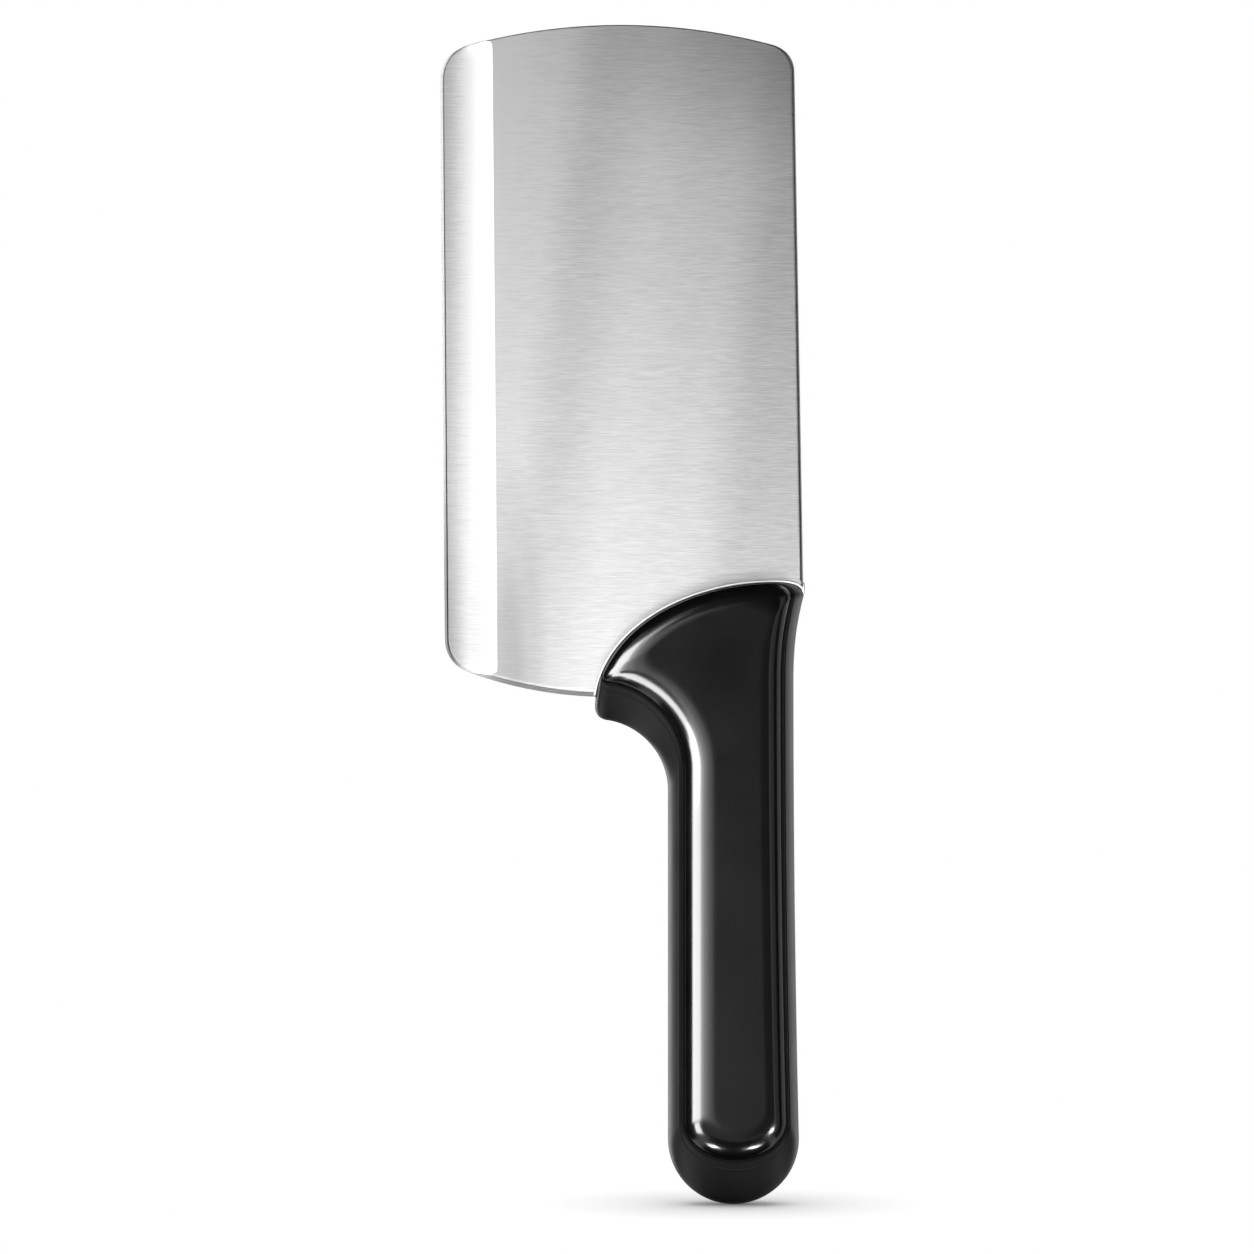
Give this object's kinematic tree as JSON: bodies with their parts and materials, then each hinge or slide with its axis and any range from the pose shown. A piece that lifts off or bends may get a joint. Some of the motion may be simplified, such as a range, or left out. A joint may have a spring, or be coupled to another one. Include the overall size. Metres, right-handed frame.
{
  "type": "kitchen knife",
  "caption": "Broad kitchen knife: satin steel blade with a ground edge and hidden tang, riveted inside a moulded black handle with gloss scales and a polished collar.",
  "frame": {"origin": "middle of the blade's flat back face, which a magnetic knife rack holds", "axes": "+Z along the knife from the butt to the tip, +X from the cutting edge to the spine, +Y out of the blade's back face"},
  "size_m": [0.0871, 0.0201, 0.2807],
  "materials": {
    "blade_steel": "satin, brushed across the blade",
    "polished_steel": "polished",
    "satin_black": "satin",
    "gloss_black": "gloss",
    "rivet_steel": "plain"
  },
  "bodies": {
    "root": {"blade": "blade_steel", "collar": "polished_steel", "core_front": "satin_black", "core_back": "satin_black", "scale_front": "gloss_black", "scale_back": "gloss_black", "rivet_socket_1": "rivet_steel", "rivet_socket_2": "rivet_steel", "rivet_socket_3": "rivet_steel", "rivet_stud_1": "rivet_steel", "rivet_stud_2": "rivet_steel", "rivet_stud_3": "rivet_steel"}
  },
  "joints": []
}
